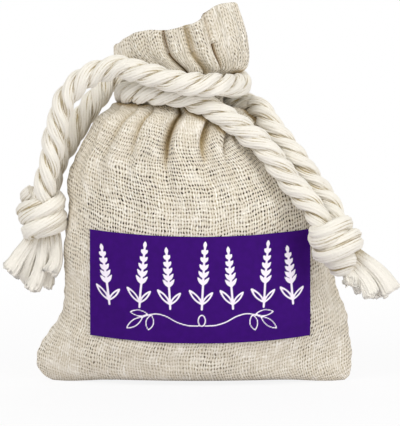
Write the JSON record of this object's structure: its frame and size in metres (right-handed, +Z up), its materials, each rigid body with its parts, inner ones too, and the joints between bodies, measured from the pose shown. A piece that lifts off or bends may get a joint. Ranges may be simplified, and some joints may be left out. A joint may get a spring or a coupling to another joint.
{
  "type": "lavender sachet",
  "caption": "Filled linen drawstring pouch with a purple label, a gathered neck with a ruffle, and two cotton cords that end in a knot and tassel each.",
  "frame": {"origin": "middle of the pouch's box, without the hanging cord ends, on the surface that it stands on", "axes": "+Z up from the base to the mouth, +X to the pouch's left side as it looks out, which is the picture's right, -Y out of the front with the label"},
  "size_m": [0.0984, 0.0414, 0.0946],
  "materials": {
    "linen": "plain weave of natural undyed linen, matt",
    "cotton_cord": "soft three-strand twisted cotton, off-white, matt",
    "label_cloth": "smooth printed cloth, deep purple with white print",
    "dried_lavender": "loose dried buds"
  },
  "bodies": {
    "root": {"front_panel": "linen", "back_panel": "linen", "lavender_fill": "dried_lavender", "label": "label_cloth", "left_cord_neck_loop": "cotton_cord", "right_cord_neck_loop": "cotton_cord"},
    "left_cord_end": {"left_cord_outer_strand": "cotton_cord", "left_cord_inner_strand": "cotton_cord", "left_knot": "cotton_cord", "left_tassel": "cotton_cord"},
    "right_cord_end": {"right_cord_lower_strand": "cotton_cord", "right_cord_upper_strand": "cotton_cord", "right_knot": "cotton_cord", "right_tassel": "cotton_cord"}
  },
  "joints": [
    {"name": "left_cord_swing", "type": "hinge", "parent": "root", "child": "left_cord_end", "pos_m": [-0.0189, -0.011, 0.0791], "axis": [0.116, 0.9888, -0.0939], "range_deg": [0, 60]},
    {"name": "right_cord_swing", "type": "hinge", "parent": "root", "child": "right_cord_end", "pos_m": [0.013, -0.0129, 0.0629], "axis": [-0.2507, -0.8921, -0.376], "range_deg": [0, 60]}
  ]
}
